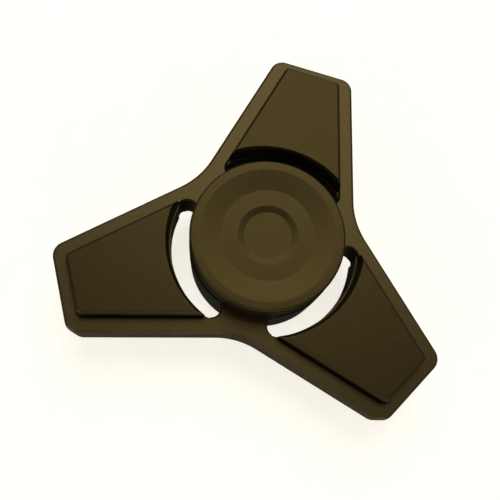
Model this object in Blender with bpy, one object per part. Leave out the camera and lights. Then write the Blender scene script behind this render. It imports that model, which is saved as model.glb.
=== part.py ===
"""Three-arm fidget spinner: a spinning frame on a deep-groove ball bearing, held between two round buttons.

The origin is the spinner's centre, on the spin axis and half way through its thickness. +Z is the spin
axis, and one arm points along +Y. Lengths are in metres, made from millimetres with MM.
"""

from math import acos, asin, atan, cos, pi, radians, sin, sqrt

import bmesh
import bpy
from mathutils import Matrix

MM = 0.001

# Frame: three flared arms around a bored hub.
ARM_ANGLES = [radians(90 + 120 * arm) for arm in range(3)]
ARM_PITCH = radians(120)
ARM_REACH = 36 * MM
TIP_HALF_WIDTH = 7.55 * MM
ARM_FLARE = atan(0.2523)
TIP_CORNER_RADIUS = 2.5 * MM
VALLEY_RADIUS = 13.9 * MM
FRAME_HALF_THICKNESS = 3.2 * MM
FRAME_CHAMFER = 0.4 * MM
BEARING_SEAT_RADIUS = 11.05 * MM

# Slots: one arc through the frame in each arm, between the hub and the pads.
SLOT_OUTER_RADIUS = 16.6 * MM
SLOT_INNER_RADIUS = 13.35 * MM
SLOT_HALF_ANGLE = radians(37.1)

# Pads: raised plates let into a shallow pocket on both faces of each arm.
PAD_REACH = 33.55 * MM
PAD_TIP_HALF_WIDTH = 5.16 * MM
PAD_CORNER_RADIUS = 0.8 * MM
PAD_INNER_RADIUS = 16.85 * MM
PAD_TOP = FRAME_HALF_THICKNESS + 2.4 * MM
PAD_EDGE_BREAK = 0.45 * MM
PAD_SEAM = 0.15 * MM
POCKET_DEPTH = 1.0 * MM
POCKET_INNER_RADIUS = 16.3 * MM
POCKET_FLOOR_GAP = 0.05 * MM

# Buttons: the finger rests, screwed to the ends of the axle.
BUTTON_RADIUS = 13.25 * MM
BUTTON_TOP = 8.6 * MM
BUTTON_UNDERSIDE = 4.0 * MM
BUTTON_RIM_ROUND = 0.4 * MM
BUTTON_UNDERSIDE_BREAK = 0.3 * MM
BUTTON_BOSS_RADIUS = 5.4 * MM
BUTTON_BOSS_FACE = 3.55 * MM
SHOULDER_INNER_RADIUS = 11.6 * MM
DISH_RADIUS = 8.0 * MM
DISH_FLOOR = 8.0 * MM
RECESS_RADIUS = 5.15 * MM
RECESS_FLOOR_RADIUS = 4.05 * MM
RECESS_FLOOR = 7.65 * MM
STUD_HOLE_RADIUS = 2.05 * MM
STUD_HOLE_TOP = 6.4 * MM

# Axle: a plain post in the bearing with a stud at each end.
AXLE_RADIUS = 3.95 * MM
AXLE_HALF_LENGTH = 3.5 * MM
STUD_RADIUS = 2.0 * MM
STUD_END = 6.3 * MM

# Bearing: 22 mm outside, 8 mm bore, 7 mm wide, with seven balls.
BEARING_HALF_WIDTH = 3.5 * MM
BEARING_OUTER_RADIUS = 11.0 * MM
BEARING_BORE_RADIUS = 4.0 * MM
BALL_COUNT = 7
BALL_RADIUS = 1.984 * MM
PITCH_RADIUS = 7.5 * MM
RACE_RADIUS = 2.064 * MM
OUTER_RACE_BOTTOM = 9.55 * MM
INNER_RACE_BOTTOM = 5.46 * MM
OUTER_LAND_RADIUS = 8.95 * MM
INNER_LAND_RADIUS = 6.05 * MM
RING_CHAMFER = 0.3 * MM
SHIELD_STEP_RADIUS = 9.6 * MM
SHIELD_STEP_HEIGHT = 2.6 * MM
SHIELD_OUTER_RADIUS = 9.5 * MM
SHIELD_INNER_RADIUS = 6.35 * MM
SHIELD_BASE = 2.8 * MM
SHIELD_THICKNESS = 0.3 * MM

# Cage: two pressed ribbons riveted between the balls.
CAGE_STATIONS = (6.75 * MM, 7.5 * MM, 8.25 * MM)
CAGE_POCKET_RADIUS = 2.1 * MM
CAGE_SHEET = 0.3 * MM
CAGE_HALF_GAP = 0.02 * MM
RIVET_HOLE_RADIUS = 0.3 * MM
RIVET_SHANK_RADIUS = 0.25 * MM
RIVET_HEAD_RADIUS = 0.5 * MM
RIVET_CROWN_RADIUS = 0.35 * MM
RIVET_HEAD_BASE = 0.36 * MM
RIVET_HEAD_TOP = 0.62 * MM

# Facets.
ROUND_SEGMENTS = 48
CORNER_STEPS = 4
VALLEY_STEPS = 8
SLOT_STEPS = 10
SLOT_END_STEPS = 6
RACE_STEPS = 6
POCKET_STEPS = 8
RIVET_SEGMENTS = 8
SMOOTH_BELOW = radians(35)

BALL_ANGLES = [radians(90) + 2 * pi * ball / BALL_COUNT for ball in range(BALL_COUNT)]
RIVET_ANGLES = [angle + pi / BALL_COUNT for angle in BALL_ANGLES]


def clear_scene():
    for obj in list(bpy.data.objects):
        bpy.data.objects.remove(obj, do_unlink=True)


def material(name, color, roughness, metallic):
    made = bpy.data.materials.new(name)
    made.use_nodes = True
    shader = made.node_tree.nodes["Principled BSDF"]
    shader.inputs["Base Color"].default_value = (*color, 1)
    shader.inputs["Roughness"].default_value = roughness
    shader.inputs["Metallic"].default_value = metallic
    return made


def pivot(name, location=(0, 0, 0), parent=None):
    """An empty on a joint's axis."""
    empty = bpy.data.objects.new(name, None)
    bpy.context.scene.collection.objects.link(empty)
    empty.location = location
    empty.parent = parent
    return empty


def finished_mesh(bm, name):
    bmesh.ops.recalc_face_normals(bm, faces=bm.faces)
    mesh = bpy.data.meshes.new(name)
    bm.to_mesh(mesh)
    bm.free()
    mesh.shade_smooth()
    mesh.set_sharp_from_angle(angle=SMOOTH_BELOW)
    return mesh


def place(name, mesh, look, parent, location=(0, 0, 0), rotation=(0, 0, 0)):
    obj = bpy.data.objects.new(name, mesh)
    bpy.context.scene.collection.objects.link(obj)
    if look and not mesh.materials:
        mesh.materials.append(look)
    obj.parent = parent
    obj.location = location
    obj.rotation_euler = rotation
    return obj


def cut(obj, name, mesh):
    """Takes the closed bodies of a mesh away from the object."""
    cutter = place(name, mesh, None, None)
    cutter.hide_render = True
    cutter.display_type = "WIRE"
    boolean = obj.modifiers.new(name, "BOOLEAN")
    boolean.operation = "DIFFERENCE"
    boolean.solver = "EXACT"
    boolean.object = cutter


def polar(radius, angle):
    return radius * cos(angle), radius * sin(angle)


def arc(center, radius, start, end, steps):
    """Points along an arc, both ends included."""
    turns = [start + (end - start) * step / steps for step in range(steps + 1)]
    return [(center[0] + radius * cos(t), center[1] + radius * sin(t)) for t in turns]


def turned(points, angle):
    """The outline turned about the spin axis."""
    c, s = cos(angle), sin(angle)
    return [(c * x - s * y, s * x + c * y) for x, y in points]


def add_loft(bm, levels):
    """Adds a closed body through (z, outline) levels, bottom to top, outlines having equal counts."""
    loops = [[bm.verts.new((x, y, z)) for x, y in outline] for z, outline in levels]
    for low, high in zip(loops, loops[1:]):
        for i, vert in enumerate(low):
            after = (i + 1) % len(low)
            bm.faces.new((vert, low[after], high[after], high[i]))
    bm.faces.new(reversed(loops[0]))
    bm.faces.new(loops[-1])


def lathed(name, profile, segments=ROUND_SEGMENTS):
    """A closed (radius, z) profile spun about Z."""
    bm = bmesh.new()
    verts = [bm.verts.new((radius, 0, z)) for radius, z in profile]
    edges = [bm.edges.new(pair) for pair in zip(verts, verts[1:] + verts[:1])]
    bmesh.ops.spin(
        bm, geom=verts + edges, cent=(0, 0, 0), axis=(0, 0, 1), angle=2 * pi, steps=segments, use_merge=True
    )
    bmesh.ops.remove_doubles(bm, verts=bm.verts, dist=1e-7)
    bmesh.ops.dissolve_degenerate(bm, edges=bm.edges, dist=1e-8)
    return finished_mesh(bm, name)


def flared_tip(reach, half_width, corner_radius, inset):
    """The rounded end of an arm or pad along +X, from its -Y side round to its +Y side."""
    side = side_distance(reach, half_width)
    corner_x = reach - corner_radius
    corner_y = (side - corner_radius - corner_x * sin(ARM_FLARE)) / cos(ARM_FLARE)
    radius = corner_radius - inset
    swing = pi / 2 - ARM_FLARE
    low = arc((corner_x, -corner_y), radius, -swing, 0, CORNER_STEPS)
    high = arc((corner_x, corner_y), radius, 0, swing, CORNER_STEPS)
    return low + high


def side_distance(reach, half_width):
    """Distance from the spin axis to the straight side line of a flared tip."""
    return reach * sin(ARM_FLARE) + half_width * cos(ARM_FLARE)


def frame_outline(inset=0.0):
    """The three arms and the round valleys between them."""
    side = side_distance(ARM_REACH, TIP_HALF_WIDTH)
    valley_at = (VALLEY_RADIUS + side) / sin(ARM_PITCH / 2 + ARM_FLARE)
    first = 3 * pi / 2 - ARM_FLARE
    last = ARM_PITCH - first + 2 * pi
    arm = flared_tip(ARM_REACH, TIP_HALF_WIDTH, TIP_CORNER_RADIUS, inset)
    arm += arc(polar(valley_at, ARM_PITCH / 2), VALLEY_RADIUS + inset, first, last, VALLEY_STEPS)
    return [point for angle in ARM_ANGLES for point in turned(arm, angle)]


def slot_outline():
    """An arc slot with round ends, across an arm along +X."""
    middle = (SLOT_OUTER_RADIUS + SLOT_INNER_RADIUS) / 2
    end_radius = (SLOT_OUTER_RADIUS - SLOT_INNER_RADIUS) / 2
    half = SLOT_HALF_ANGLE
    outer = arc((0, 0), SLOT_OUTER_RADIUS, -half, half, SLOT_STEPS)
    far_end = arc(polar(middle, half), end_radius, half, half + pi, SLOT_END_STEPS)
    inner = arc((0, 0), SLOT_INNER_RADIUS, half, -half, SLOT_STEPS)
    near_end = arc(polar(middle, -half), end_radius, pi - half, 2 * pi - half, SLOT_END_STEPS)
    return outer + far_end[1:-1] + inner + near_end[1:-1]


def pad_outline(inset, inner_radius):
    """A pad's outline along +X: a flared tip, straight sides and a hollow inner edge round the slot."""
    tip = flared_tip(PAD_REACH, PAD_TIP_HALF_WIDTH, PAD_CORNER_RADIUS, inset)
    side = side_distance(PAD_REACH, PAD_TIP_HALF_WIDTH) - inset
    half = asin(side / inner_radius) - ARM_FLARE
    return tip + arc((0, 0), inner_radius, half, -half, SLOT_STEPS)


def make_frame(look, parent):
    bm = bmesh.new()
    inner = FRAME_HALF_THICKNESS - FRAME_CHAMFER
    faces, sides = frame_outline(FRAME_CHAMFER), frame_outline()
    levels = [(-FRAME_HALF_THICKNESS, faces), (-inner, sides), (inner, sides), (FRAME_HALF_THICKNESS, faces)]
    add_loft(bm, levels)
    frame = place("frame", finished_mesh(bm, "frame"), look, parent)

    past = 2 * FRAME_HALF_THICKNESS
    seat = arc((0, 0), BEARING_SEAT_RADIUS, 0, 2 * pi, ROUND_SEGMENTS)[:-1]
    bm = bmesh.new()
    add_loft(bm, [(-past, seat), (past, seat)])
    cut(frame, "bearing_seat_cutter", finished_mesh(bm, "bearing_seat_cutter"))

    bm = bmesh.new()
    for angle in ARM_ANGLES:
        slot = turned(slot_outline(), angle)
        add_loft(bm, [(-past, slot), (past, slot)])
    cut(frame, "slot_cutter", finished_mesh(bm, "slot_cutter"))

    floor = FRAME_HALF_THICKNESS - POCKET_DEPTH
    bm = bmesh.new()
    for angle in ARM_ANGLES:
        pocket = turned(pad_outline(-PAD_SEAM, POCKET_INNER_RADIUS), angle)
        add_loft(bm, [(floor, pocket), (past, pocket)])
        add_loft(bm, [(-past, pocket), (-floor, pocket)])
    cut(frame, "pocket_cutter", finished_mesh(bm, "pocket_cutter"))


def make_pads(look, parent):
    bottom = FRAME_HALF_THICKNESS - POCKET_DEPTH + POCKET_FLOOR_GAP
    sides = pad_outline(0.0, PAD_INNER_RADIUS)
    top = pad_outline(PAD_EDGE_BREAK, PAD_INNER_RADIUS + PAD_EDGE_BREAK)
    bm = bmesh.new()
    add_loft(bm, [(bottom, sides), (PAD_TOP - PAD_EDGE_BREAK, sides), (PAD_TOP, top)])
    mesh = finished_mesh(bm, "pad")
    for number, angle in enumerate(ARM_ANGLES, 1):
        place(f"front_pad_{number}", mesh, look, parent, rotation=(0, 0, angle))
        place(f"rear_pad_{number}", mesh, look, parent, rotation=(pi, 0, angle))


def make_buttons(look, parent):
    rim, edge = BUTTON_RIM_ROUND, BUTTON_UNDERSIDE_BREAK
    rim_middle = rim * (1 - cos(pi / 4))
    profile = [
        (0, STUD_HOLE_TOP),
        (STUD_HOLE_RADIUS, STUD_HOLE_TOP),
        (STUD_HOLE_RADIUS, BUTTON_BOSS_FACE),
        (BUTTON_BOSS_RADIUS, BUTTON_BOSS_FACE),
        (BUTTON_BOSS_RADIUS, BUTTON_UNDERSIDE),
        (BUTTON_RADIUS - edge, BUTTON_UNDERSIDE),
        (BUTTON_RADIUS, BUTTON_UNDERSIDE + edge),
        (BUTTON_RADIUS, BUTTON_TOP - rim),
        (BUTTON_RADIUS - rim_middle, BUTTON_TOP - rim_middle),
        (BUTTON_RADIUS - rim, BUTTON_TOP),
        (SHOULDER_INNER_RADIUS, BUTTON_TOP),
        (DISH_RADIUS, DISH_FLOOR),
        (RECESS_RADIUS, DISH_FLOOR),
        (RECESS_FLOOR_RADIUS, RECESS_FLOOR),
        (0, RECESS_FLOOR),
    ]
    mesh = lathed("button", profile)
    place("front_button", mesh, look, parent)
    place("rear_button", mesh, look, parent, rotation=(pi, 0, 0))


def make_axle(look, parent):
    half = [
        (STUD_RADIUS, STUD_END),
        (STUD_RADIUS, AXLE_HALF_LENGTH),
        (AXLE_RADIUS, AXLE_HALF_LENGTH),
    ]
    other = [(radius, -z) for radius, z in reversed(half)]
    place("axle", lathed("axle", [(0, STUD_END)] + half + other + [(0, -STUD_END)]), look, parent)


def race(center_radius, facing):
    """Half a turn of groove between a ring's lands. facing is 1 for the outer ring, -1 for the inner."""
    land = OUTER_LAND_RADIUS if facing > 0 else INNER_LAND_RADIUS
    half = acos(abs(land - center_radius) / RACE_RADIUS)
    angles = [half - 2 * half * step / RACE_STEPS for step in range(RACE_STEPS + 1)]
    return [(center_radius + facing * RACE_RADIUS * cos(t), RACE_RADIUS * sin(t)) for t in angles]


def make_bearing_rings(look, grip, rotor):
    width, chamfer = BEARING_HALF_WIDTH, RING_CHAMFER
    outside = [
        (BEARING_OUTER_RADIUS - chamfer, -width),
        (BEARING_OUTER_RADIUS, -width + chamfer),
        (BEARING_OUTER_RADIUS, width - chamfer),
        (BEARING_OUTER_RADIUS - chamfer, width),
    ]
    step = [
        (SHIELD_STEP_RADIUS, width),
        (SHIELD_STEP_RADIUS, SHIELD_STEP_HEIGHT),
        (OUTER_LAND_RADIUS, SHIELD_STEP_HEIGHT),
    ]
    groove = race(OUTER_RACE_BOTTOM - RACE_RADIUS, 1)
    back = [(radius, -z) for radius, z in reversed(step)]
    place("bearing_outer_ring", lathed("bearing_outer_ring", outside + step + groove + back), look, rotor)

    bore = [
        (BEARING_BORE_RADIUS + chamfer, width),
        (BEARING_BORE_RADIUS, width - chamfer),
        (BEARING_BORE_RADIUS, -width + chamfer),
        (BEARING_BORE_RADIUS + chamfer, -width),
    ]
    groove = race(INNER_RACE_BOTTOM + RACE_RADIUS, -1)
    profile = bore + [(INNER_LAND_RADIUS, -width)] + groove[::-1] + [(INNER_LAND_RADIUS, width)]
    place("bearing_inner_ring", lathed("bearing_inner_ring", profile), look, grip)


def make_shields(look, rotor):
    profile = [
        (SHIELD_INNER_RADIUS, SHIELD_BASE),
        (SHIELD_OUTER_RADIUS, SHIELD_BASE),
        (SHIELD_OUTER_RADIUS, SHIELD_BASE + SHIELD_THICKNESS),
        (SHIELD_INNER_RADIUS, SHIELD_BASE + SHIELD_THICKNESS),
    ]
    mesh = lathed("shield", profile)
    place("front_shield", mesh, look, rotor)
    place("rear_shield", mesh, look, rotor, rotation=(pi, 0, 0))


def pocket_wave(radius, pocket_radius, base):
    """(angle, z) of one ball pocket at a station radius, from one foot over the crown to the other."""
    crown = sqrt(pocket_radius**2 - (radius - PITCH_RADIUS) ** 2)
    foot = asin(base / crown)
    wave = []
    for step in range(POCKET_STEPS + 1):
        climb = foot + (pi - 2 * foot) * step / POCKET_STEPS
        z = crown * sin(climb)
        across = (radius**2 + PITCH_RADIUS**2 + z**2 - pocket_radius**2) / (2 * radius * PITCH_RADIUS)
        swing = acos(min(1.0, across))
        wave.append((-swing if step < POCKET_STEPS / 2 else swing, z))
    return wave


def cage_ribbon():
    """One pressed half of the cage: flat between the balls, domed over each."""
    bm = bmesh.new()
    near, far = CAGE_POCKET_RADIUS, CAGE_POCKET_RADIUS + CAGE_SHEET
    rails = [(radius, near, CAGE_HALF_GAP) for radius in CAGE_STATIONS]
    rails += [(radius, far, CAGE_HALF_GAP + CAGE_SHEET) for radius in reversed(CAGE_STATIONS)]
    loops = []
    for radius, pocket_radius, base in rails:
        wave = pocket_wave(radius, pocket_radius, base)
        points = [(*polar(radius, ball + swing), z) for ball in BALL_ANGLES for swing, z in wave]
        loops.append([bm.verts.new(point) for point in points])
    for rail, loop in enumerate(loops):
        beside = loops[(rail + 1) % len(loops)]
        for i in range(len(loop)):
            after = (i + 1) % len(loop)
            bm.faces.new((loop[i], loop[after], beside[after], beside[i]))
    return finished_mesh(bm, "cage")


def make_cage(cage_look, rivet_look, parent):
    ribbon = cage_ribbon()
    past = 3 * CAGE_SHEET
    bm = bmesh.new()
    for angle in RIVET_ANGLES:
        hole = arc(polar(PITCH_RADIUS, angle), RIVET_HOLE_RADIUS, 0, 2 * pi, RIVET_SEGMENTS)[:-1]
        add_loft(bm, [(-past, hole), (past, hole)])
    holes = finished_mesh(bm, "rivet_hole_cutter")
    front = place("cage_front", ribbon, cage_look, parent)
    cut(front, "rivet_hole_cutter_front", holes)
    turned_over = ribbon.copy()
    turned_over.transform(Matrix.Scale(-1, 4, (0, 0, 1)))
    turned_over.flip_normals()
    rear = place("cage_rear", turned_over, cage_look, parent)
    cut(rear, "rivet_hole_cutter_rear", holes)

    half = [
        (RIVET_CROWN_RADIUS, RIVET_HEAD_TOP),
        (RIVET_HEAD_RADIUS, RIVET_HEAD_BASE),
        (RIVET_SHANK_RADIUS, RIVET_HEAD_BASE),
    ]
    other = [(radius, -z) for radius, z in reversed(half)]
    profile = [(0, RIVET_HEAD_TOP)] + half + other + [(0, -RIVET_HEAD_TOP)]
    rivet = lathed("rivet", profile, RIVET_SEGMENTS)
    for number, angle in enumerate(RIVET_ANGLES, 1):
        place(f"cage_rivet_{number}", rivet, rivet_look, parent, (*polar(PITCH_RADIUS, angle), 0))


def make_balls(look, parent):
    bm = bmesh.new()
    bmesh.ops.create_uvsphere(bm, u_segments=12, v_segments=8, radius=BALL_RADIUS)
    mesh = finished_mesh(bm, "ball")
    for number, angle in enumerate(BALL_ANGLES, 1):
        place(f"ball_{number}", mesh, look, parent, (*polar(PITCH_RADIUS, angle), 0))


def main():
    clear_scene()
    frame_metal = material("frame_metal", (0.095, 0.072, 0.026), 0.55, 0.6)
    pad_metal = material("pad_metal", (0.068, 0.048, 0.018), 0.6, 0.6)
    button_metal = material("button_metal", (0.085, 0.064, 0.026), 0.5, 0.6)
    bearing_steel = material("bearing_steel", (0.58, 0.58, 0.57), 0.15, 1.0)
    pressed_steel = material("pressed_steel", (0.45, 0.45, 0.44), 0.3, 1.0)

    grip = pivot("grip_axis")
    rotor = pivot("rotor_axis", parent=grip)
    cage = pivot("cage_axis", parent=grip)
    make_frame(frame_metal, rotor)
    make_pads(pad_metal, rotor)
    make_buttons(button_metal, grip)
    make_axle(pressed_steel, grip)
    make_bearing_rings(bearing_steel, grip, rotor)
    make_shields(pressed_steel, rotor)
    make_cage(pressed_steel, pressed_steel, cage)
    make_balls(bearing_steel, cage)


main()
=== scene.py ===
"""Looks for the three-arm fidget spinner.

Fine, rounded versions of the spinner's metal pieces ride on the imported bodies. Heights and radii come
from the frame's boxes where a box gives them. Lengths are in metres, made from millimetres with MM.
"""

from math import acos, asin, atan, atan2, cos, pi, radians, sin

import bmesh
import bpy
from mathutils import Matrix, Vector


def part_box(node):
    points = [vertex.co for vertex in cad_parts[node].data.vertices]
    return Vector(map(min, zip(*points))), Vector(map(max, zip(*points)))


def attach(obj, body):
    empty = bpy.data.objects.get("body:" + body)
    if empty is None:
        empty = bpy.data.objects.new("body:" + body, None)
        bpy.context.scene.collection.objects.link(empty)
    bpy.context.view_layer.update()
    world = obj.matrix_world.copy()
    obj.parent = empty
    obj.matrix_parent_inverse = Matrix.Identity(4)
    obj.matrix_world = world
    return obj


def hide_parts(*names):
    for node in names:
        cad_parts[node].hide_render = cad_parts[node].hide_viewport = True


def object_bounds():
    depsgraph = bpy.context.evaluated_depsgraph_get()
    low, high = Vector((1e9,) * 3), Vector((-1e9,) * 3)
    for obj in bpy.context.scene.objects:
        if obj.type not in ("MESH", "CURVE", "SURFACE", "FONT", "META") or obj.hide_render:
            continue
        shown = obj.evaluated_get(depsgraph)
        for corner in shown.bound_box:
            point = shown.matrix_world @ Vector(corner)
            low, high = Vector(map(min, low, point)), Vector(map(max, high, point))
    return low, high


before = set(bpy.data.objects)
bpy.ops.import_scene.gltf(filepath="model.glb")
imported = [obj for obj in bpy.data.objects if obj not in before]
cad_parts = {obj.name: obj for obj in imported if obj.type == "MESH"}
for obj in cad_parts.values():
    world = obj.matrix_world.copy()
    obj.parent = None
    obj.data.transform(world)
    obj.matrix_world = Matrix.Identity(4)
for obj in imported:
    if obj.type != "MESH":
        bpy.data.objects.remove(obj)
cad_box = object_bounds()

MM = 0.001
TURNED_OVER = Matrix.Rotation(pi, 4, "X")

# Sizes read from the frame.
FRAME_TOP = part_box("frame")[1].z
ARM_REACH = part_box("frame")[1].y
PAD_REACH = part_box("front_pad_1")[1].y
PAD_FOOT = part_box("front_pad_1")[0].z
PAD_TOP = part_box("front_pad_1")[1].z
BUTTON_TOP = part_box("front_button")[1].z
BUTTON_BOSS_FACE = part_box("front_button")[0].z
BUTTON_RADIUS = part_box("front_button")[1].x
BEARING_HALF_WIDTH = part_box("bearing_outer_ring")[1].z
BEARING_OUTER_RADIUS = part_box("bearing_outer_ring")[1].x
INNER_LAND_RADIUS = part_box("bearing_inner_ring")[1].x
AXLE_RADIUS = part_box("axle")[1].x
STUD_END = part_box("axle")[1].z
SHIELD_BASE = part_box("front_shield")[0].z
SHIELD_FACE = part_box("front_shield")[1].z
SHIELD_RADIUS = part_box("front_shield")[1].x
BALL_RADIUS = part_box("ball_1")[1].z
RIVET_HEAD_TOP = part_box("cage_rivet_1")[1].z
TABLE_TOP = cad_box[0][2]

# Frame outline.
ARM_ANGLES = [radians(90 + 120 * arm) for arm in range(3)]
ARM_PITCH = radians(120)
ARM_FLARE = atan(0.2523)
TIP_HALF_WIDTH = 7.55 * MM
TIP_CORNER_RADIUS = 2.5 * MM
VALLEY_RADIUS = 13.9 * MM
FRAME_EDGE = 0.42 * MM
FRAME_FIT = 0.03 * MM
BEARING_SEAT_RADIUS = 11.05 * MM

# Slots and pads.
SLOT_OUTER_RADIUS = 16.6 * MM
SLOT_INNER_RADIUS = 13.35 * MM
SLOT_HALF_ANGLE = radians(37.1)
SLOT_LIP = 0.3 * MM
PAD_TIP_HALF_WIDTH = 5.16 * MM
PAD_CORNER_RADIUS = 0.8 * MM
PAD_INNER_RADIUS = 16.85 * MM
PAD_EDGE = 0.48 * MM
PAD_SEAM = 0.22 * MM
POCKET_LIP = 0.12 * MM
POCKET_DEPTH = 1.0 * MM
POCKET_INNER_RADIUS = 16.3 * MM

# Buttons.
BUTTON_UNDERSIDE = 4.0 * MM
BUTTON_BOSS_RADIUS = 5.4 * MM
SHOULDER_INNER_RADIUS = 11.6 * MM
DISH_RADIUS = 8.0 * MM
DISH_FLOOR = BUTTON_TOP - 0.6 * MM
RECESS_RADIUS = 5.15 * MM
RECESS_FLOOR_RADIUS = 4.05 * MM
RECESS_FLOOR = BUTTON_TOP - 0.87 * MM
STUD_HOLE_RADIUS = 2.05 * MM
STUD_HOLE_TOP = 6.4 * MM

# Axle and bearing.
STUD_RADIUS = 2.0 * MM
BEARING_BORE_RADIUS = 4.0 * MM
RACE_RADIUS = 2.064 * MM
OUTER_RACE_BOTTOM = 9.55 * MM
INNER_RACE_BOTTOM = 5.46 * MM
OUTER_LAND_RADIUS = 8.95 * MM
SHIELD_STEP_RADIUS = 9.6 * MM
SHIELD_STEP_HEIGHT = 2.6 * MM
SHIELD_INNER_RADIUS = 6.35 * MM
RIVET_SHANK_RADIUS = 0.25 * MM
RIVET_HEAD_RADIUS = 0.5 * MM
RIVET_HEAD_BASE = 0.36 * MM
BALL_COUNT = 7

# Smoothness of the fine meshes. EDGE_SHAPE holds (depth, inset) steps over a softened chamfer of size 1.
TURNED_SEGMENTS = 160
SMALL_SEGMENTS = 32
EDGE_STEPS = 4
EDGE_SHAPE = [(0.0, 1.12), (0.03, 1.0), (0.09, 0.91), (0.91, 0.09), (1.0, 0.03), (1.12, 0.0)]
CORNER_STEPS = 14
VALLEY_STEPS = 36
SLOT_STEPS = 48
SLOT_END_STEPS = 18
RACE_STEPS = 20
BALL_SEGMENTS = 48
SHARPEST_SMOOTH_ANGLE = radians(40)
WELD_DISTANCE = 1e-7
SLIVER_LENGTH = 1e-8

# Metal tones: light, dark, and rubbed at the edges.
FRAME_TONES = ((0.093, 0.071, 0.03), (0.077, 0.058, 0.0235), (0.17, 0.14, 0.075))
PAD_TONES = ((0.065, 0.048, 0.0185), (0.053, 0.039, 0.0145), (0.11, 0.09, 0.045))
BUTTON_TONES = ((0.066, 0.0495, 0.0185), (0.054, 0.04, 0.0145), (0.12, 0.095, 0.045))
EDGE_RUB = 0.3
ROUGHNESS_DRIFT = 0.015
BLAST_DEPTH = 0.04 * MM
STEEL_MARK_DEPTH = 0.01 * MM

# Studio.
FLOOR_HALF_SIDE = 2.0
FLOOR_GAP = 0.02 * MM
WORLD_LIGHT = 0.06
WORLD_SEEN = 0.95
LAMP_DISTANCE = 0.45

# Camera, measured from the middle of the frame's top face.
CAMERA_TURN = radians(4.37)
CAMERA_TILT = radians(-16.59)
CAMERA_ROLL = radians(-20.48)
CAMERA_DISTANCE = 3.057 * ARM_REACH
CAMERA_LENS = 44.94
CAMERA_CLIP_START = 5 * MM
CAMERA_SHIFT = (-0.0306, -0.0156)


# ---------------------------------------------------------------- outlines


def polar(radius, angle):
    return radius * cos(angle), radius * sin(angle)


def arc(center, radius, start, end, steps):
    """Points along an arc, both ends included."""
    turns = [start + (end - start) * step / steps for step in range(steps + 1)]
    return [(center[0] + radius * cos(t), center[1] + radius * sin(t)) for t in turns]


def turned(points, angle):
    """The outline turned about the spin axis."""
    c, s = cos(angle), sin(angle)
    return [(c * x - s * y, s * x + c * y) for x, y in points]


def side_distance(reach, half_width):
    """Distance from the spin axis to the straight side line of a flared tip."""
    return reach * sin(ARM_FLARE) + half_width * cos(ARM_FLARE)


def flared_tip(reach, half_width, corner_radius, inset):
    """The rounded end of an arm or pad along +X, from its -Y side round to its +Y side."""
    side = side_distance(reach, half_width)
    corner_x = reach - corner_radius
    corner_y = (side - corner_radius - corner_x * sin(ARM_FLARE)) / cos(ARM_FLARE)
    radius = corner_radius - inset
    swing = pi / 2 - ARM_FLARE
    low = arc((corner_x, -corner_y), radius, -swing, 0, CORNER_STEPS)
    high = arc((corner_x, corner_y), radius, 0, swing, CORNER_STEPS)
    return low + high


def frame_outline(inset):
    """The three arms and the round valleys between them."""
    side = side_distance(ARM_REACH, TIP_HALF_WIDTH)
    valley_at = (VALLEY_RADIUS + side) / sin(ARM_PITCH / 2 + ARM_FLARE)
    first = 3 * pi / 2 - ARM_FLARE
    last = ARM_PITCH - first + 2 * pi
    arm = flared_tip(ARM_REACH, TIP_HALF_WIDTH, TIP_CORNER_RADIUS, inset)
    arm += arc(polar(valley_at, ARM_PITCH / 2), VALLEY_RADIUS + inset, first, last, VALLEY_STEPS)
    return [point for angle in ARM_ANGLES for point in turned(arm, angle)]


def slot_outline(angle, grow):
    """An arc slot with round ends, wider all round by grow."""
    middle = (SLOT_OUTER_RADIUS + SLOT_INNER_RADIUS) / 2
    end_radius = (SLOT_OUTER_RADIUS - SLOT_INNER_RADIUS) / 2 + grow
    half = SLOT_HALF_ANGLE
    outer = arc((0, 0), middle + end_radius, -half, half, SLOT_STEPS)
    far_end = arc(polar(middle, half), end_radius, half, half + pi, SLOT_END_STEPS)
    inner = arc((0, 0), middle - end_radius, half, -half, SLOT_STEPS)
    near_end = arc(polar(middle, -half), end_radius, pi - half, 2 * pi - half, SLOT_END_STEPS)
    return turned(outer + far_end[1:-1] + inner + near_end[1:-1], angle)


def pad_outline(angle, inset, inner_radius):
    """A flared tip, straight sides and a hollow inner edge round the slot."""
    tip = flared_tip(PAD_REACH, PAD_TIP_HALF_WIDTH, PAD_CORNER_RADIUS, inset)
    side = side_distance(PAD_REACH, PAD_TIP_HALF_WIDTH) - inset
    half = asin(side / inner_radius) - ARM_FLARE
    return turned(tip + arc((0, 0), inner_radius, half, -half, SLOT_STEPS), angle)


def edge_break(size):
    """(depth, inset) steps over a milled chamfer with softened corners, from flat face to side."""
    return [(size * depth, size * inset) for depth, inset in EDGE_SHAPE]


def rounded(corners):
    """A profile of (radius, z, fillet) corners with each fillet drawn as an arc."""
    path = []
    for i, (r, z, fillet) in enumerate(corners):
        here = Vector((r, z))
        if fillet == 0:
            path.append((r, z))
            continue
        before = Vector(corners[i - 1][:2]) - here
        after = Vector(corners[(i + 1) % len(corners)][:2]) - here
        u, v = before.normalized(), after.normalized()
        half = u.angle(v) / 2
        reach = min(fillet / sin(half) * cos(half), 0.45 * before.length, 0.45 * after.length)
        size = reach * sin(half) / cos(half)
        center = here + (u + v).normalized() * (size / sin(half))
        start, end = here + u * reach - center, here + v * reach - center
        swing = start.angle_signed(end)
        first = atan2(start.y, start.x)
        for step in range(EDGE_STEPS + 1):
            angle = first - swing * step / EDGE_STEPS
            path.append((center.x + size * cos(angle), center.y + size * sin(angle)))
    return path


# ---------------------------------------------------------------- meshes


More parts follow.
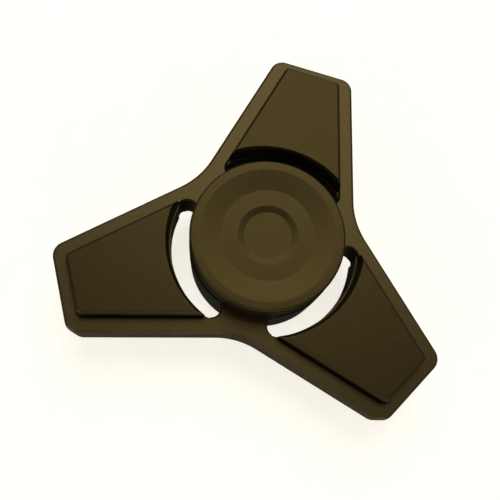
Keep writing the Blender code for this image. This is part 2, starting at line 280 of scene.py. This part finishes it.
def add_loft(bm, levels):
    """Adds a closed body through (z, outline) levels, bottom to top, outlines having equal counts."""
    loops = [[bm.verts.new((x, y, z)) for x, y in outline] for z, outline in levels]
    for low, high in zip(loops, loops[1:]):
        for i, vert in enumerate(low):
            after = (i + 1) % len(low)
            bm.faces.new((vert, low[after], high[after], high[i]))
    bm.faces.new(reversed(loops[0]))
    bm.faces.new(loops[-1])


def finished_mesh(bm, name):
    bmesh.ops.recalc_face_normals(bm, faces=bm.faces)
    mesh = bpy.data.meshes.new(name)
    bm.to_mesh(mesh)
    bm.free()
    return mesh


def lathed(name, corners, segments=TURNED_SEGMENTS):
    """A closed profile of (radius, z, fillet) corners spun about Z."""
    bm = bmesh.new()
    verts = [bm.verts.new((max(r, 0), 0, z)) for r, z in rounded(corners)]
    edges = [bm.edges.new(pair) for pair in zip(verts, verts[1:] + verts[:1])]
    whole_turn = {"cent": (0, 0, 0), "axis": (0, 0, 1), "angle": 2 * pi, "use_merge": True}
    bmesh.ops.spin(bm, geom=verts + edges, steps=segments, **whole_turn)
    bmesh.ops.remove_doubles(bm, verts=bm.verts, dist=WELD_DISTANCE)
    bmesh.ops.dissolve_degenerate(bm, edges=bm.edges, dist=SLIVER_LENGTH)
    return finished_mesh(bm, name)


def bare(name, mesh):
    obj = bpy.data.objects.new(name, mesh)
    bpy.context.scene.collection.objects.link(obj)
    return obj


def carve(obj, cutters):
    """Cuts closed meshes out of the object and keeps the result as its own mesh."""
    blanks = [bare("blank", mesh) for mesh in cutters]
    for blank in blanks:
        boolean = obj.modifiers.new("cut", "BOOLEAN")
        boolean.operation = "DIFFERENCE"
        boolean.solver = "EXACT"
        boolean.object = blank
    graph = bpy.context.evaluated_depsgraph_get()
    carved = bpy.data.meshes.new_from_object(obj.evaluated_get(graph), depsgraph=graph)
    obj.modifiers.clear()
    obj.data = carved
    for blank in blanks:
        bpy.data.objects.remove(blank)


def show(name, mesh, finish, body, node, place=None):
    """A finished piece in the row frame, riding on its body in place of its CAD node."""
    obj = mesh if isinstance(mesh, bpy.types.Object) else bare(name, mesh)
    obj.data.transform(place or Matrix.Identity(4))
    obj.data.materials.clear()
    obj.data.materials.append(finish)
    obj.data.shade_smooth()
    obj.data.set_sharp_from_angle(angle=SHARPEST_SMOOTH_ANGLE)
    weighted = obj.modifiers.new("weighted normals", "WEIGHTED_NORMAL")
    weighted.keep_sharp = True
    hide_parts(node)
    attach(obj, body)
    return obj


# ---------------------------------------------------------------- shader groups


def new_group(name, inputs, outputs):
    """A shader group with float inputs {name: default} and outputs {name: socket type}."""
    group = bpy.data.node_groups.new(name, "ShaderNodeTree")
    for label, default in inputs.items():
        made = group.interface.new_socket(label, in_out="INPUT", socket_type="NodeSocketFloat")
        made.default_value = default
    for label, kind in outputs.items():
        group.interface.new_socket(label, in_out="OUTPUT", socket_type=kind)
    return group, group.nodes.new("NodeGroupInput"), group.nodes.new("NodeGroupOutput")


def math_node(tree, operation, first, second=None, clamp=False):
    node = tree.nodes.new("ShaderNodeMath")
    node.operation = operation
    node.use_clamp = clamp
    for socket, value in zip(node.inputs, (first, second)):
        if value is None:
            continue
        if isinstance(value, (int, float)):
            socket.default_value = value
        else:
            tree.links.new(value, socket)
    return node.outputs[0]


def noise(tree, vector, scale, detail, roughness=0.5):
    node = tree.nodes.new("ShaderNodeTexNoise")
    tree.links.new(vector, node.inputs["Vector"])
    if isinstance(scale, (int, float)):
        node.inputs["Scale"].default_value = scale
    else:
        tree.links.new(scale, node.inputs["Scale"])
    node.inputs["Detail"].default_value = detail
    node.inputs["Roughness"].default_value = roughness
    return node.outputs["Fac"]


def blasted_grain_group():
    """The fine pitted skin of bead-blasted metal, with a slower drift of tone over it."""
    group, entry, out = new_group(
        "blasted grain",
        {"Grains per metre": 4200.0, "Drift per metre": 160.0},
        {"Height": "NodeSocketFloat", "Fleck": "NodeSocketFloat", "Drift": "NodeSocketFloat"},
    )
    place = group.nodes.new("ShaderNodeTexCoord").outputs["Object"]
    grain = noise(group, place, entry.outputs["Grains per metre"], 3.0, 0.62)
    coarse_scale = math_node(group, "MULTIPLY", entry.outputs["Grains per metre"], 0.33)
    coarse = noise(group, place, coarse_scale, 2.0)
    height = math_node(group, "ADD", grain, math_node(group, "MULTIPLY", coarse, 0.6))
    group.links.new(height, out.inputs["Height"])
    fleck = math_node(group, "MULTIPLY", math_node(group, "SUBTRACT", grain, 0.42), 3.0, clamp=True)
    group.links.new(fleck, out.inputs["Fleck"])
    group.links.new(noise(group, place, entry.outputs["Drift per metre"], 4.0), out.inputs["Drift"])
    return group


def edge_wear_group():
    """White where a corner is near, broken up as handling rubs it."""
    group, entry, out = new_group(
        "edge wear",
        {"Reach": 0.00035, "Amount": 1.0, "Breakup per metre": 900.0},
        {"Edge": "NodeSocketFloat"},
    )
    rounder = group.nodes.new("ShaderNodeBevel")
    rounder.samples = 6
    group.links.new(entry.outputs["Reach"], rounder.inputs["Radius"])
    facing = group.nodes.new("ShaderNodeNewGeometry").outputs["Normal"]
    dot = group.nodes.new("ShaderNodeVectorMath")
    dot.operation = "DOT_PRODUCT"
    group.links.new(rounder.outputs["Normal"], dot.inputs[0])
    group.links.new(facing, dot.inputs[1])
    bend = math_node(group, "SUBTRACT", 1.0, dot.outputs["Value"])
    place = group.nodes.new("ShaderNodeTexCoord").outputs["Object"]
    broken = noise(group, place, entry.outputs["Breakup per metre"], 4.0)
    rubbed = math_node(group, "MULTIPLY", math_node(group, "MULTIPLY", bend, 5.0), broken)
    worn = math_node(group, "MULTIPLY", rubbed, entry.outputs["Amount"], clamp=True)
    group.links.new(worn, out.inputs["Edge"])
    return group


def turning_marks_group():
    """Rings left by a lathe tool about the piece's own Z axis, as height and as tone."""
    group, entry, out = new_group(
        "turning marks",
        {"Rings per metre": 5200.0},
        {"Height": "NodeSocketFloat", "Tone": "NodeSocketFloat"},
    )
    place = group.nodes.new("ShaderNodeTexCoord").outputs["Object"]
    flat = group.nodes.new("ShaderNodeVectorMath")
    flat.operation = "MULTIPLY"
    flat.inputs[1].default_value = (1, 1, 0)
    group.links.new(place, flat.inputs[0])
    length = group.nodes.new("ShaderNodeVectorMath")
    length.operation = "LENGTH"
    group.links.new(flat.outputs["Vector"], length.inputs[0])
    ring = group.nodes.new("ShaderNodeTexNoise")
    ring.noise_dimensions = "1D"
    group.links.new(length.outputs["Value"], ring.inputs["W"])
    group.links.new(entry.outputs["Rings per metre"], ring.inputs["Scale"])
    ring.inputs["Detail"].default_value = 3.0
    group.links.new(ring.outputs["Fac"], out.inputs["Height"])
    tone = group.nodes.new("ShaderNodeTexNoise")
    tone.noise_dimensions = "1D"
    group.links.new(length.outputs["Value"], tone.inputs["W"])
    tone.inputs["Scale"].default_value = 900.0
    group.links.new(tone.outputs["Fac"], out.inputs["Tone"])
    return group


GRAIN = blasted_grain_group()
WEAR = edge_wear_group()
MARKS = turning_marks_group()


def place_group(tree, group, **values):
    """The outputs of a group placed in the tree. values are its inputs, with _ for each space."""
    node = tree.nodes.new("ShaderNodeGroup")
    node.node_tree = group
    for label, value in values.items():
        node.inputs[label.replace("_", " ")].default_value = value
    return node.outputs


def blend_colors(tree, amount, first, second):
    """first where amount is 0, second where it is 1. Colours are sockets or RGB triples."""
    node = tree.nodes.new("ShaderNodeMix")
    node.data_type = "RGBA"
    tree.links.new(amount, node.inputs["Factor"])
    for socket, value in zip((node.inputs[6], node.inputs[7]), (first, second)):
        if isinstance(value, tuple):
            socket.default_value = (*value, 1)
        else:
            tree.links.new(value, socket)
    return node.outputs[2]


def from_range(tree, value, low, high):
    """Stretches a noise value, which keeps near the middle, to run from low to high."""
    node = tree.nodes.new("ShaderNodeMapRange")
    tree.links.new(value, node.inputs["Value"])
    node.inputs["From Min"].default_value = 0.3
    node.inputs["From Max"].default_value = 0.7
    node.inputs["To Min"].default_value = low
    node.inputs["To Max"].default_value = high
    return node.outputs["Result"]


def new_material(name, metallic):
    made = bpy.data.materials.new(name)
    made.use_nodes = True
    shader = made.node_tree.nodes["Principled BSDF"]
    shader.inputs["Metallic"].default_value = metallic
    return made, made.node_tree, shader


def bump(tree, height, strength, distance):
    node = tree.nodes.new("ShaderNodeBump")
    node.inputs["Strength"].default_value = strength
    node.inputs["Distance"].default_value = distance
    tree.links.new(height, node.inputs["Height"])
    return node.outputs["Normal"]


def anodised(name, tones, roughness, marks=0.0):
    """Bead-blasted, anodised metal in its light, dark and worn tones. marks adds lathe rings."""
    light, dark, worn = tones
    made, tree, shader = new_material(name, 1.0)
    grain = place_group(tree, GRAIN)
    edge = place_group(tree, WEAR, Amount=EDGE_RUB)["Edge"]
    drift = math_node(tree, "MULTIPLY", grain["Drift"], 0.5)
    tone = math_node(tree, "ADD", math_node(tree, "MULTIPLY", grain["Fleck"], 0.5), drift)
    height = grain["Height"]
    if marks:
        rings = place_group(tree, MARKS)
        height = math_node(tree, "ADD", height, math_node(tree, "MULTIPLY", rings["Height"], marks))
        ring_tone = math_node(tree, "MULTIPLY", rings["Tone"], 0.35 * marks)
        tone = math_node(tree, "SUBTRACT", math_node(tree, "ADD", tone, ring_tone), 0.17 * marks)
    tone = from_range(tree, tone, 0.0, 1.0)
    coat = blend_colors(tree, tone, dark, light)
    tree.links.new(blend_colors(tree, edge, coat, worn), shader.inputs["Base Color"])
    smooth, rough = roughness - ROUGHNESS_DRIFT, roughness + ROUGHNESS_DRIFT
    tree.links.new(from_range(tree, grain["Drift"], smooth, rough), shader.inputs["Roughness"])
    tree.links.new(bump(tree, height, 0.35, BLAST_DEPTH), shader.inputs["Normal"])
    return made


def steel(name, color, roughness, marks, grain_strength):
    """Bare steel, ground or pressed, with fine marks about its own axis."""
    made, tree, shader = new_material(name, 1.0)
    grain = place_group(tree, GRAIN, Drift_per_metre=420.0)
    rings = place_group(tree, MARKS, Rings_per_metre=9000.0)
    dull = tuple(0.78 * c for c in color)
    tone = blend_colors(tree, from_range(tree, grain["Drift"], 0.0, 1.0), color, dull)
    tree.links.new(tone, shader.inputs["Base Color"])
    tree.links.new(from_range(tree, grain["Drift"], roughness, roughness + 0.1), shader.inputs["Roughness"])
    ring_height = math_node(tree, "MULTIPLY", rings["Height"], marks)
    grain_height = math_node(tree, "MULTIPLY", grain["Height"], grain_strength)
    height = math_node(tree, "ADD", ring_height, grain_height)
    tree.links.new(bump(tree, height, 0.3, STEEL_MARK_DEPTH), shader.inputs["Normal"])
    return made


# ---------------------------------------------------------------- pieces


def opening_levels(lip):
    """(z, growth) levels of an opening that flares past both faces of the frame through a softened lip."""
    flare = [(FRAME_TOP - depth, grow) for depth, grow in edge_break(lip)]
    upper = [(2 * FRAME_TOP, flare[0][1])] + flare
    return [(-z, grow) for z, grow in upper] + upper[::-1]


def bearing_seat():
    bm = bmesh.new()
    whole_turn = (0, 2 * pi, TURNED_SEGMENTS)
    levels = opening_levels(SLOT_LIP)
    rings = [(z, arc((0, 0), BEARING_SEAT_RADIUS + grow, *whole_turn)[:-1]) for z, grow in levels]
    add_loft(bm, rings)
    return finished_mesh(bm, "seat")


def arc_slots():
    bm = bmesh.new()
    for angle in ARM_ANGLES:
        add_loft(bm, [(z, slot_outline(angle, grow)) for z, grow in opening_levels(SLOT_LIP)])
    return finished_mesh(bm, "slots")


def pad_pockets():
    bm = bmesh.new()
    lip = [(FRAME_TOP - depth, grow) for depth, grow in edge_break(POCKET_LIP)]
    levels = [(FRAME_TOP - POCKET_DEPTH, 0.0)] + lip[::-1] + [(2 * FRAME_TOP, lip[0][1])]
    for angle in ARM_ANGLES:
        front = [(z, pad_outline(angle, -PAD_SEAM - grow, POCKET_INNER_RADIUS)) for z, grow in levels]
        add_loft(bm, front)
        add_loft(bm, [(-z, outline) for z, outline in front[::-1]])
    return finished_mesh(bm, "pockets")


def make_frame(finish):
    bm = bmesh.new()
    edge = edge_break(FRAME_EDGE)
    top_edge = [(FRAME_TOP - depth, frame_outline(FRAME_FIT + inset)) for depth, inset in edge]
    bottom_edge = [(-z, outline) for z, outline in top_edge]
    add_loft(bm, bottom_edge + top_edge[::-1])
    piece = bare("spinner_frame", finished_mesh(bm, "spinner_frame"))
    carve(piece, [bearing_seat(), arc_slots(), pad_pockets()])
    show("spinner_frame", piece, finish, "rotor", "frame")


def pad_mesh(name):
    """A pad along +X, on the front face."""
    bm = bmesh.new()
    edge = edge_break(PAD_EDGE)
    top = [(PAD_TOP - depth, pad_outline(0, inset, PAD_INNER_RADIUS + inset)) for depth, inset in edge]
    add_loft(bm, [(PAD_FOOT, top[-1][1])] + top[::-1])
    return finished_mesh(bm, name)


def make_pads(finish):
    for number, angle in enumerate(ARM_ANGLES, 1):
        for side, over in (("front", Matrix.Identity(4)), ("rear", TURNED_OVER)):
            name = f"arm_pad_{side}_{number}"
            node = f"{side}_pad_{number}"
            place = Matrix.Rotation(angle, 4, "Z") @ over
            show(name, pad_mesh(name), finish, "rotor", node, place)


def make_buttons(finish):
    corners = [
        (0, STUD_HOLE_TOP, 0),
        (STUD_HOLE_RADIUS, STUD_HOLE_TOP, 0.1 * MM),
        (STUD_HOLE_RADIUS, BUTTON_BOSS_FACE, 0.1 * MM),
        (BUTTON_BOSS_RADIUS, BUTTON_BOSS_FACE, 0.1 * MM),
        (BUTTON_BOSS_RADIUS, BUTTON_UNDERSIDE, 0.1 * MM),
        (BUTTON_RADIUS, BUTTON_UNDERSIDE, 0.3 * MM),
        (BUTTON_RADIUS, BUTTON_TOP, 0.4 * MM),
        (SHOULDER_INNER_RADIUS, BUTTON_TOP, 1.0 * MM),
        (DISH_RADIUS, DISH_FLOOR, 1.2 * MM),
        (RECESS_RADIUS, DISH_FLOOR, 0.8 * MM),
        (RECESS_FLOOR_RADIUS, RECESS_FLOOR, 0.5 * MM),
        (0, RECESS_FLOOR, 0),
    ]
    for side, place in (("front", Matrix.Identity(4)), ("rear", TURNED_OVER)):
        name = f"finger_button_{side}"
        show(name, lathed(name, corners), finish, "grip", f"{side}_button", place)


def make_axle(finish):
    shoulder = BEARING_HALF_WIDTH
    half = [
        (0, STUD_END, 0),
        (STUD_RADIUS, STUD_END, 0.2 * MM),
        (STUD_RADIUS, shoulder, 0.08 * MM),
        (AXLE_RADIUS, shoulder, 0.15 * MM),
    ]
    other = [(radius, -z, fillet) for radius, z, fillet in reversed(half)]
    mesh = lathed("axle_post", half + other)
    show("axle_post", mesh, finish, "grip", "axle")


def race(bottom, facing, land):
    """Corners along a ball groove between a ring's lands. facing is 1 on the outer ring, -1 on the inner."""
    center = bottom - facing * RACE_RADIUS
    half = acos(abs(land - center) / RACE_RADIUS)
    angles = [half - 2 * half * step / RACE_STEPS for step in range(RACE_STEPS + 1)]
    return [(center + facing * RACE_RADIUS * cos(t), RACE_RADIUS * sin(t), 0) for t in angles]


def make_rings(finish):
    width = BEARING_HALF_WIDTH
    step = [
        (SHIELD_STEP_RADIUS, width, 0.08 * MM),
        (SHIELD_STEP_RADIUS, SHIELD_STEP_HEIGHT, 0.08 * MM),
        (OUTER_LAND_RADIUS, SHIELD_STEP_HEIGHT, 0.08 * MM),
    ]
    outer = [(BEARING_OUTER_RADIUS, -width, 0.3 * MM), (BEARING_OUTER_RADIUS, width, 0.3 * MM)]
    outer += step
    outer += race(OUTER_RACE_BOTTOM, 1, OUTER_LAND_RADIUS)
    outer += [(radius, -z, fillet) for radius, z, fillet in reversed(step)]
    inner = [
        (INNER_LAND_RADIUS, width, 0.1 * MM),
        (BEARING_BORE_RADIUS, width, 0.3 * MM),
        (BEARING_BORE_RADIUS, -width, 0.3 * MM),
        (INNER_LAND_RADIUS, -width, 0.1 * MM),
    ]
    inner += race(INNER_RACE_BOTTOM, -1, INNER_LAND_RADIUS)[::-1]
    for name, corners, body in (("outer", outer, "rotor"), ("inner", inner, "grip")):
        piece = f"bearing_{name}_race"
        node = f"bearing_{name}_ring"
        show(piece, lathed(piece, corners), finish, body, node)


def make_shields(finish):
    corners = [
        (SHIELD_INNER_RADIUS, SHIELD_BASE, 0.08 * MM),
        (SHIELD_RADIUS, SHIELD_BASE, 0.05 * MM),
        (SHIELD_RADIUS, SHIELD_FACE, 0.12 * MM),
        (SHIELD_INNER_RADIUS, SHIELD_FACE, 0.08 * MM),
    ]
    for side, place in (("front", Matrix.Identity(4)), ("rear", TURNED_OVER)):
        name = f"bearing_shield_{side}"
        node = f"{side}_shield"
        show(name, lathed(name, corners), finish, "rotor", node, place)


def make_balls(finish):
    for number in range(1, BALL_COUNT + 1):
        low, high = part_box(f"ball_{number}")
        place = Matrix.Translation((low + high) / 2)
        bm = bmesh.new()
        segments = {"u_segments": BALL_SEGMENTS, "v_segments": BALL_SEGMENTS // 2}
        bmesh.ops.create_uvsphere(bm, radius=BALL_RADIUS, **segments)
        name = f"bearing_ball_{number}"
        mesh = finished_mesh(bm, name)
        show(name, mesh, finish, f"ball_body_{number}", f"ball_{number}", place)


def make_rivets(finish):
    dome = RIVET_HEAD_TOP - RIVET_HEAD_BASE
    half = [
        (0, RIVET_HEAD_TOP, 0),
        (RIVET_HEAD_RADIUS * 0.7, RIVET_HEAD_TOP - dome * 0.15, 0.15 * MM),
        (RIVET_HEAD_RADIUS, RIVET_HEAD_BASE, 0.03 * MM),
        (RIVET_SHANK_RADIUS, RIVET_HEAD_BASE, 0.02 * MM),
    ]
    other = [(radius, -z, fillet) for radius, z, fillet in reversed(half)]
    for number in range(1, BALL_COUNT + 1):
        low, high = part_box(f"cage_rivet_{number}")
        place = Matrix.Translation((low + high) / 2)
        name = f"ribbon_rivet_{number}"
        mesh = lathed(name, half + other, SMALL_SEGMENTS)
        show(name, mesh, finish, "cage", f"cage_rivet_{number}", place)


def finish_cage(finish):
    """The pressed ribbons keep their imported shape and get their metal."""
    for node in ("cage_front", "cage_rear"):
        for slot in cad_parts[node].material_slots:
            slot.material = finish


# ---------------------------------------------------------------- studio


def make_floor():
    """A plain pale table top. A glow of its own keeps it pale where the spinner shades it."""
    bm = bmesh.new()
    bmesh.ops.create_grid(bm, x_segments=8, y_segments=8, size=FLOOR_HALF_SIDE)
    floor = bare("floor", finished_mesh(bm, "floor"))
    floor.location.z = TABLE_TOP - FLOOR_GAP
    made, tree, shader = new_material("pale table", 0.0)
    place = tree.nodes.new("ShaderNodeTexCoord").outputs["Object"]
    speckle = noise(tree, place, 260.0, 5.0)
    matt = blend_colors(tree, speckle, (0.53, 0.515, 0.48), (0.57, 0.555, 0.52))
    tree.links.new(matt, shader.inputs["Base Color"])
    pale = blend_colors(tree, speckle, (0.79, 0.76, 0.69), (0.82, 0.79, 0.72))
    tree.links.new(pale, shader.inputs["Emission Color"])
    shader.inputs["Roughness"].default_value = 0.8
    shader.inputs["Specular IOR Level"].default_value = 0.2
    seen = tree.nodes.new("ShaderNodeLightPath").outputs["Is Camera Ray"]
    tree.links.new(seen, shader.inputs["Emission Strength"])
    floor.data.materials.append(made)


def area_light(name, azimuth, elevation, size, power, color):
    """A soft square lamp that looks at the spinner, from angles in degrees."""
    lamp = bpy.data.objects.new(name, bpy.data.lights.new(name, "AREA"))
    bpy.context.scene.collection.objects.link(lamp)
    a, e = radians(azimuth), radians(elevation)
    toward = Vector((cos(e) * cos(a), cos(e) * sin(a), sin(e)))
    lamp.location = toward * LAMP_DISTANCE
    lamp.rotation_euler = toward.to_track_quat("Z", "Y").to_euler()
    lamp.data.size = size
    lamp.data.energy = power
    lamp.data.color = color


def make_lights():
    area_light("key", 96, 59, 0.36, 1.1, (1.0, 0.95, 0.84))
    area_light("right fill", 0, 35, 0.2, 0.12, (1.0, 0.97, 0.92))
    area_light("left fill", 180, 35, 0.2, 0.08, (0.9, 0.95, 1.0))
    area_light("near right fill", 300, 14, 0.26, 0.5, (1.0, 0.96, 0.9))
    area_light("near left fill", 236, 14, 0.26, 0.55, (1.0, 0.96, 0.9))


def make_world():
    """Dim to the spinner, pale where the camera looks past the floor."""
    world = bpy.data.worlds.new("studio")
    world.use_nodes = True
    tree = world.node_tree
    background = tree.nodes["Background"]
    background.inputs["Color"].default_value = (0.9, 0.94, 1.0, 1)
    seen = tree.nodes.new("ShaderNodeLightPath").outputs["Is Camera Ray"]
    strength = math_node(tree, "MAXIMUM", math_node(tree, "MULTIPLY", seen, WORLD_SEEN), WORLD_LIGHT)
    tree.links.new(strength, background.inputs["Strength"])
    bpy.context.scene.world = world
    bpy.context.scene.view_settings.view_transform = "Standard"


def make_camera():
    camera = bpy.data.objects.new("camera", bpy.data.cameras.new("camera"))
    bpy.context.scene.collection.objects.link(camera)
    turn = Matrix.Rotation(CAMERA_TURN, 3, "Z")
    tilt = Matrix.Rotation(CAMERA_TILT, 3, "X")
    roll = Matrix.Rotation(CAMERA_ROLL, 3, "Z")
    facing = (roll @ tilt @ turn).transposed()
    target = Vector((0, 0, FRAME_TOP))
    place = target + facing @ Vector((0, 0, CAMERA_DISTANCE))
    camera.matrix_world = Matrix.Translation(place) @ facing.to_4x4()
    camera.data.lens = CAMERA_LENS
    camera.data.shift_x, camera.data.shift_y = CAMERA_SHIFT
    camera.data.clip_start = CAMERA_CLIP_START
    bpy.context.scene.camera = camera


def make_spinner():
    frame_metal = anodised("frame anodising", FRAME_TONES, 0.48)
    pad_metal = anodised("pad anodising", PAD_TONES, 0.5)
    button_metal = anodised("button anodising", BUTTON_TONES, 0.46, marks=0.6)
    race_steel = steel("race steel", (0.62, 0.62, 0.61), roughness=0.16, marks=0.8, grain_strength=0.1)
    ball_steel = steel("ball steel", (0.68, 0.68, 0.67), roughness=0.05, marks=0.0, grain_strength=0.05)
    sheet_steel = steel("sheet steel", (0.52, 0.52, 0.51), roughness=0.28, marks=0.3, grain_strength=0.5)
    make_frame(frame_metal)
    make_pads(pad_metal)
    make_buttons(button_metal)
    make_axle(sheet_steel)
    make_rings(race_steel)
    make_shields(sheet_steel)
    make_balls(ball_steel)
    make_rivets(sheet_steel)
    finish_cage(sheet_steel)


make_camera()
make_lights()
make_world()
make_floor()
make_spinner()
